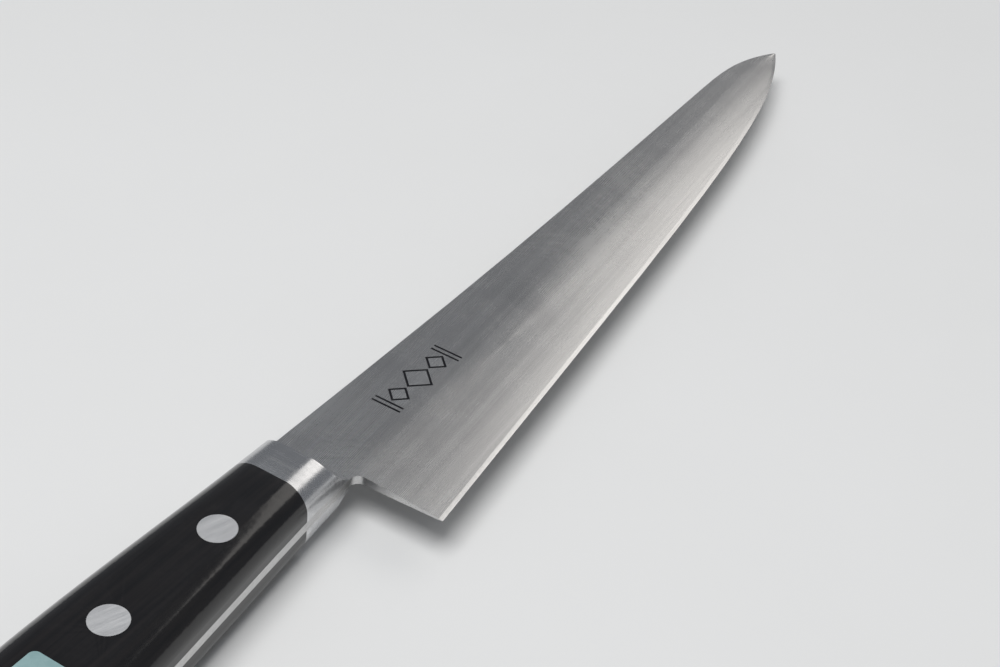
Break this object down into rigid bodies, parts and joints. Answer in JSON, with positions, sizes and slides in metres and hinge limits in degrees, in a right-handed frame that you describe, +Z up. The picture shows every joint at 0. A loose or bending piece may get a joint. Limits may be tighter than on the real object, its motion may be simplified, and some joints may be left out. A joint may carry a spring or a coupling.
{
  "type": "chef knife",
  "caption": "Chef's knife with a slim tapering satin steel blade, full tang, welded bolster and glossy black riveted handle scales, lying on its side.",
  "frame": {"origin": "middle of the knife's box, on the surface that it lies on; the left face of the handle lies on z = 0", "axes": "+X from the butt to the tip, +Y towards the spine, +Z up out of the right face, which carries the mark and the label"},
  "size_m": [0.3596, 0.0426, 0.0191],
  "materials": {
    "blade_steel": "satin, fine lengthwise polishing lines",
    "bolster_steel": "fine satin, nearly polished",
    "scale_resin": "black resin-pressed laminate, buffed to a gloss",
    "rivet_metal": "satin, ground flush",
    "label_paper": "pale teal coated paper, blank"
  },
  "bodies": {
    "root": {"blade": "blade_steel", "bolster_right": "bolster_steel", "bolster_left": "bolster_steel", "scale_right": "scale_resin", "scale_left": "scale_resin", "rivet_front_socket": "rivet_metal", "rivet_front_pin": "rivet_metal", "rivet_middle_socket": "rivet_metal", "rivet_middle_pin": "rivet_metal", "rivet_rear_socket": "rivet_metal", "rivet_rear_pin": "rivet_metal", "label_sticker": "label_paper"}
  },
  "joints": []
}
